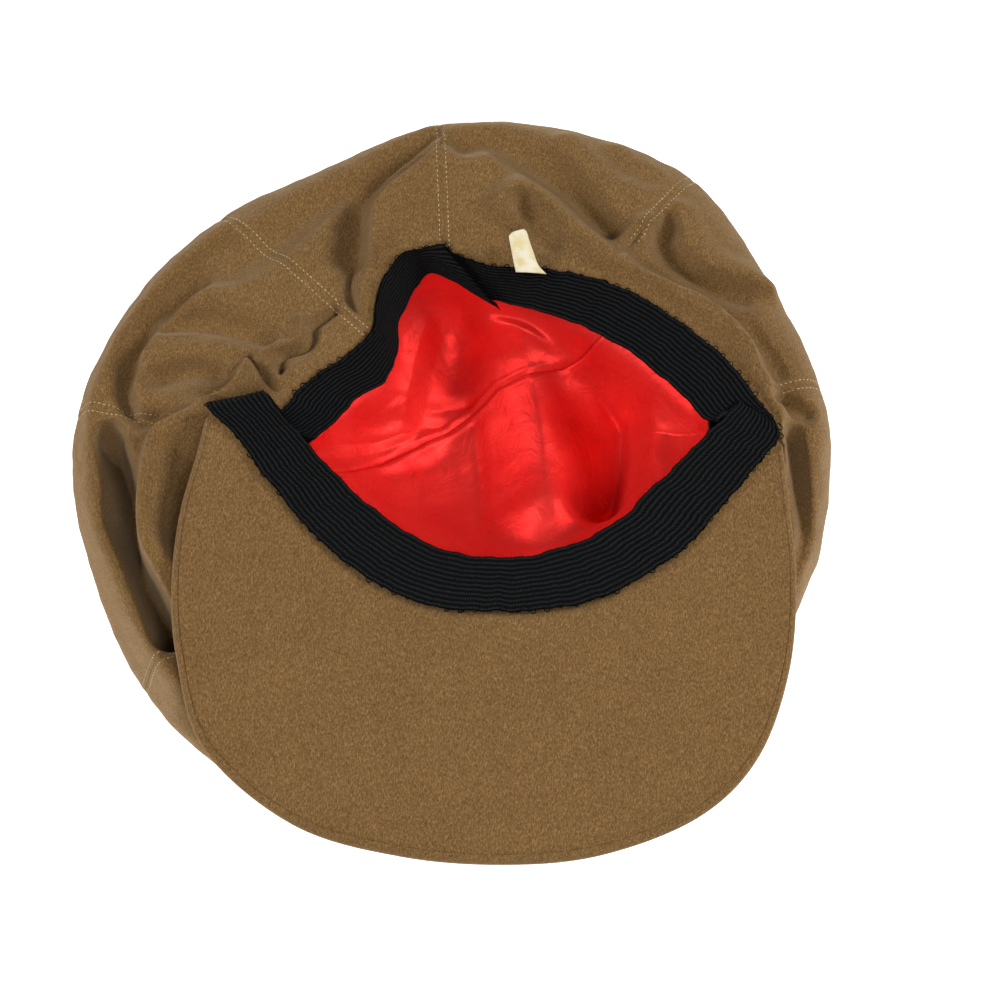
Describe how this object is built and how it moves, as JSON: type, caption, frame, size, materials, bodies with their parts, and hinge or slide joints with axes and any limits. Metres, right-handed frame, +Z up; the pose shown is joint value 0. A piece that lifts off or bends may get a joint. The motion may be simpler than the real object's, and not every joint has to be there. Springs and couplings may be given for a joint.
{
  "type": "cabbie hat",
  "caption": "Soft panelled wool cap with a stiff visor, a ribbed elastic sweatband and a satin lining, lying upside down on its crown.",
  "frame": {"origin": "centre of the cap's footprint, on the surface that its crown rests on", "axes": "+Z up out of the hollow, -Y towards the visor's edge, +X to the right as seen from the visor's side"},
  "size_m": [0.2462, 0.2591, 0.0629],
  "materials": {
    "wool": "brushed tan wool with a short nap",
    "elastic": "black ribbed woven elastic",
    "satin": "glossy red satin",
    "ribbon": "plain cream ribbon, slightly shiny"
  },
  "bodies": {
    "root": {"crown_panel_1": "wool", "crown_panel_2": "wool", "crown_panel_3": "wool", "crown_panel_4": "wool", "crown_panel_5": "wool", "crown_panel_6": "wool", "crown_panel_7": "wool", "crown_panel_8": "wool", "visor_under_cloth": "wool", "visor_top_cloth": "wool", "elastic_band": "elastic", "lining_back": "satin", "lining_front": "satin", "size_tag": "ribbon"}
  },
  "joints": []
}
